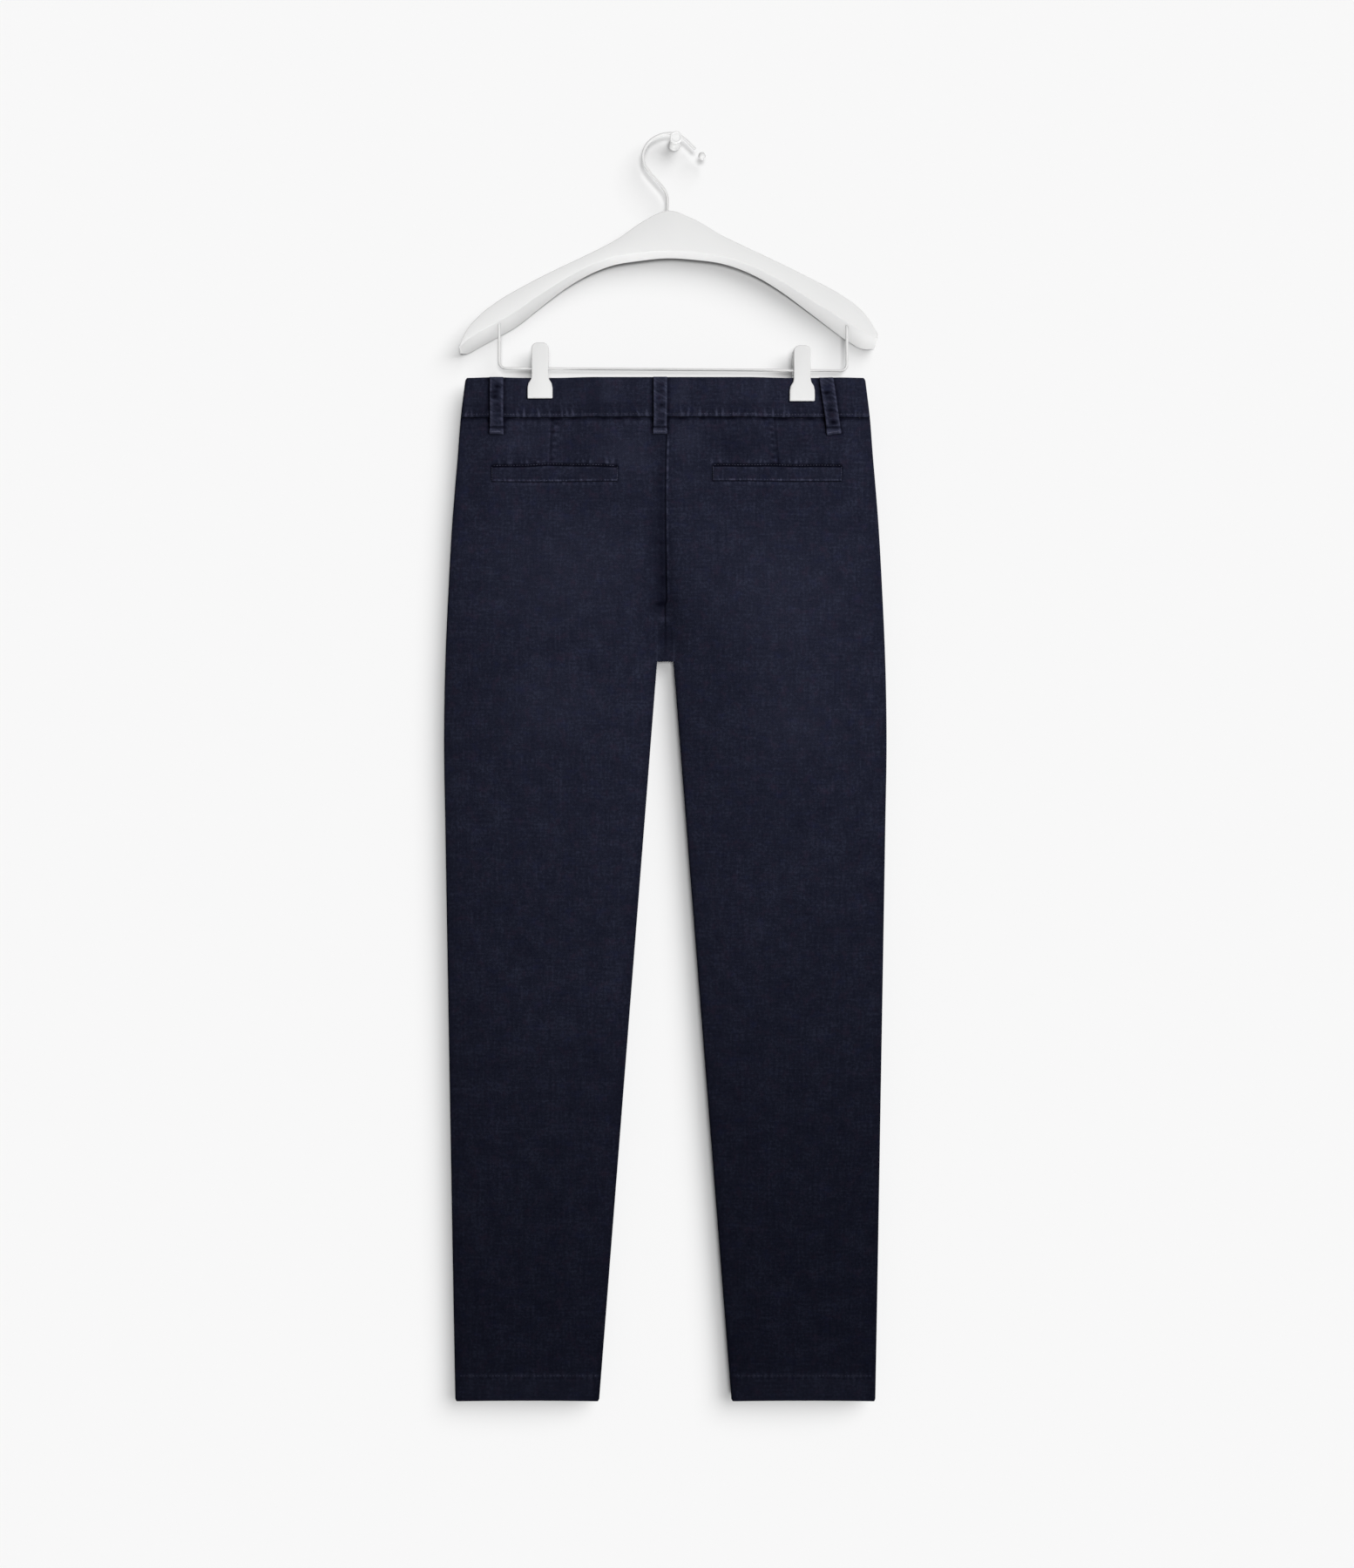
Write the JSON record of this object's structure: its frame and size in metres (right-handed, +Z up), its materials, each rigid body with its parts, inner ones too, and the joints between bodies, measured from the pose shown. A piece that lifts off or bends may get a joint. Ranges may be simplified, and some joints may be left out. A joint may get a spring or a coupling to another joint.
{
  "type": "chino trousers on a clip hanger and wall peg",
  "caption": "Slim navy chino trousers hanging flat by the waistband from a white clip hanger on a wall peg, their back facing the room.",
  "frame": {"origin": "centre of the wall peg's flat back, on the wall, which is the plane Y = 0", "axes": "+Z up, +Y out of the room into the wall, +X to the right of someone who looks at the wall; the trousers hang at -Y and below the origin, with their back facing the room"},
  "size_m": [0.4816, 0.0361, 1.3829],
  "materials": {
    "navy_twill": "matt fine cotton twill with a slight slub, tone-on-tone topstitching",
    "navy_button": "satin sewn button",
    "white_plastic": "satin moulded",
    "white_wire": "white coated steel wire",
    "white_paint": "smooth white paint"
  },
  "bodies": {
    "root": {"back_left": "navy_twill", "back_right": "navy_twill", "front_left": "navy_twill", "front_right": "navy_twill", "pocket_facing_left": "navy_twill", "pocket_facing_right": "navy_twill", "hem_back_left": "navy_twill", "hem_back_right": "navy_twill", "hem_front_left": "navy_twill", "hem_front_right": "navy_twill", "waistband_back": "navy_twill", "waistband_front_left": "navy_twill", "waistband_front_right": "navy_twill", "belt_loop_back_centre": "navy_twill", "belt_loop_back_left": "navy_twill", "belt_loop_back_right": "navy_twill", "belt_loop_front_left": "navy_twill", "belt_loop_front_right": "navy_twill", "back_welt_left": "navy_twill", "back_welt_right": "navy_twill", "fly_flap": "navy_twill", "waist_button": "navy_button", "hanger_body": "white_plastic", "hook_wire": "white_wire", "hook_tip": "white_plastic", "trouser_bar": "white_wire", "clip_left_room_jaw": "white_plastic", "clip_left_wall_jaw": "white_plastic", "clip_left_pivot": "white_plastic", "clip_right_room_jaw": "white_plastic", "clip_right_wall_jaw": "white_plastic", "clip_right_pivot": "white_plastic", "wall_peg": "white_paint"}
  },
  "joints": []
}
